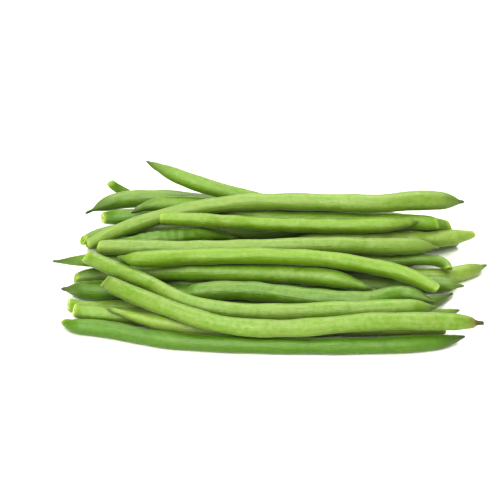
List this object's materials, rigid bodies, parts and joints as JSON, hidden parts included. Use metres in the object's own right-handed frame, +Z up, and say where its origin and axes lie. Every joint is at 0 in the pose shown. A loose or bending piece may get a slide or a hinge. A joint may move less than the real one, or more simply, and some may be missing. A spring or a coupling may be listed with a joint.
{
  "type": "green bean bundle",
  "caption": "Loose bundle of fresh green bean pods lying side by side in a low heap, with square-cut stem ends and thin curved tails.",
  "frame": {"origin": "on the surface, under the middle of the bundle", "axes": "+X along the pods, +Y across them towards the back of the heap, +Z up"},
  "size_m": [0.214, 0.1284, 0.037],
  "materials": {
    "skin_pale": "fresh pod skin, yellow-green, satin",
    "skin_fresh": "fresh pod skin, mid green, satin",
    "skin_deep": "fresh pod skin, deep green, satin"
  },
  "bodies": {
    "root": {"bean_01": "skin_deep", "bean_02": "skin_fresh", "bean_03": "skin_fresh", "bean_04": "skin_deep", "bean_05": "skin_deep", "bean_06": "skin_pale", "bean_07": "skin_deep", "bean_08": "skin_deep", "bean_09": "skin_deep", "bean_10": "skin_deep", "bean_11": "skin_deep", "bean_12": "skin_pale", "bean_13": "skin_fresh", "bean_14": "skin_fresh", "bean_15": "skin_deep", "bean_16": "skin_deep", "bean_17": "skin_deep", "bean_18": "skin_deep", "bean_19": "skin_pale", "bean_20": "skin_deep", "bean_21": "skin_deep", "bean_22": "skin_deep", "bean_23": "skin_fresh", "bean_24": "skin_fresh", "bean_25": "skin_pale", "bean_26": "skin_deep", "bean_27": "skin_fresh", "bean_28": "skin_fresh", "bean_29": "skin_fresh", "bean_30": "skin_pale", "bean_31": "skin_fresh"}
  },
  "joints": []
}
